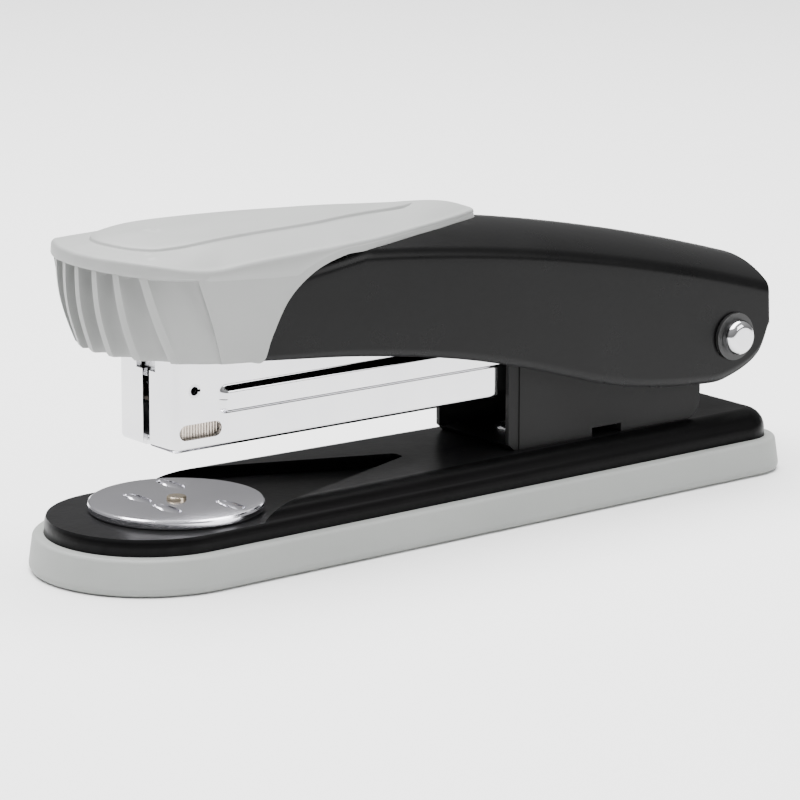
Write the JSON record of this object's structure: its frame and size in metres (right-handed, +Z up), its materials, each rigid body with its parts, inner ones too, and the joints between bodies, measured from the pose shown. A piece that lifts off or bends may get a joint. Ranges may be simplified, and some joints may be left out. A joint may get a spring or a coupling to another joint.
{
  "type": "stapler",
  "caption": "Half-strip desk stapler with a pressed-steel handle, soft grey nose cap, chrome magazine, turnable anvil disc and a rimmed base.",
  "frame": {"origin": "on the table under the middle of the base", "axes": "+X along the base from the nose to the hinge, +Y across, +Z up"},
  "size_m": [0.1392, 0.037, 0.0532],
  "materials": {
    "grey_plastic": "matte",
    "black_paint": "semi-gloss",
    "black_plastic": "satin",
    "chrome": "polished",
    "brass": "satin",
    "steel": "satin"
  },
  "bodies": {
    "base": {"base_boot": "grey_plastic", "base_plate": "black_paint", "pivot_bracket": "black_paint", "bracket_rivets": "steel", "lift_spring": "steel", "anvil_spring": "steel", "pivot_pin": "chrome", "pivot_washers": "black_plastic", "pivot_spacers": "black_plastic", "pivot_sleeve": "steel"},
    "anvil_stem": {"anvil_spindle": "brass", "anvil_button": "black_plastic"},
    "anvil": {"anvil_disc": "chrome"},
    "magazine": {"magazine_channel": "chrome", "magazine_carrier": "black_paint", "carrier_rivets": "steel", "front_roll_pin": "steel", "staple_rail": "black_paint", "staple_strip": "steel", "guide_rod": "steel", "pusher_spring": "steel"},
    "pusher": {"pusher": "black_plastic"},
    "handle": {"handle_shell": "black_paint", "head_cap": "grey_plastic", "driver_blade": "steel", "driver_leaf": "steel", "driver_rivets": "steel", "leaf_studs": "steel", "return_spring": "steel"}
  },
  "joints": [
    {"name": "magazine_swing", "type": "hinge", "parent": "base", "child": "magazine", "pos_m": [0.057, 0, 0.024], "axis": [0, 1, 0], "range_deg": [-4.6, 0], "stiffness_Nm_per_rad": 1.2, "springref_deg": 11.46, "deforming": ["lift_spring"]},
    {"name": "handle_swing", "type": "hinge", "parent": "magazine", "child": "handle", "pos_m": [0.057, 0, 0.024], "axis": [0, 1, 0], "range_deg": [-5.4, 85], "stiffness_Nm_per_rad": 0.6, "springref_deg": 3.44, "deforming": ["return_spring"]},
    {"name": "pusher_slide", "type": "slide", "parent": "magazine", "child": "pusher", "axis": [1, 0, 0], "range_m": [0, 0.011], "stiffness_N_per_m": 40, "springref_m": -0.01, "deforming": ["pusher_spring"]},
    {"name": "anvil_lift", "type": "slide", "parent": "base", "child": "anvil_stem", "axis": [0, 0, 1], "range_m": [0, 0.0016], "stiffness_N_per_m": 300, "springref_m": -0.003, "deforming": ["anvil_spring"]},
    {"name": "anvil_turn", "type": "hinge", "parent": "anvil_stem", "child": "anvil", "pos_m": [-0.0461, 0, 0.0095], "axis": [0, 0, 1], "range_deg": [0, 180]}
  ]
}
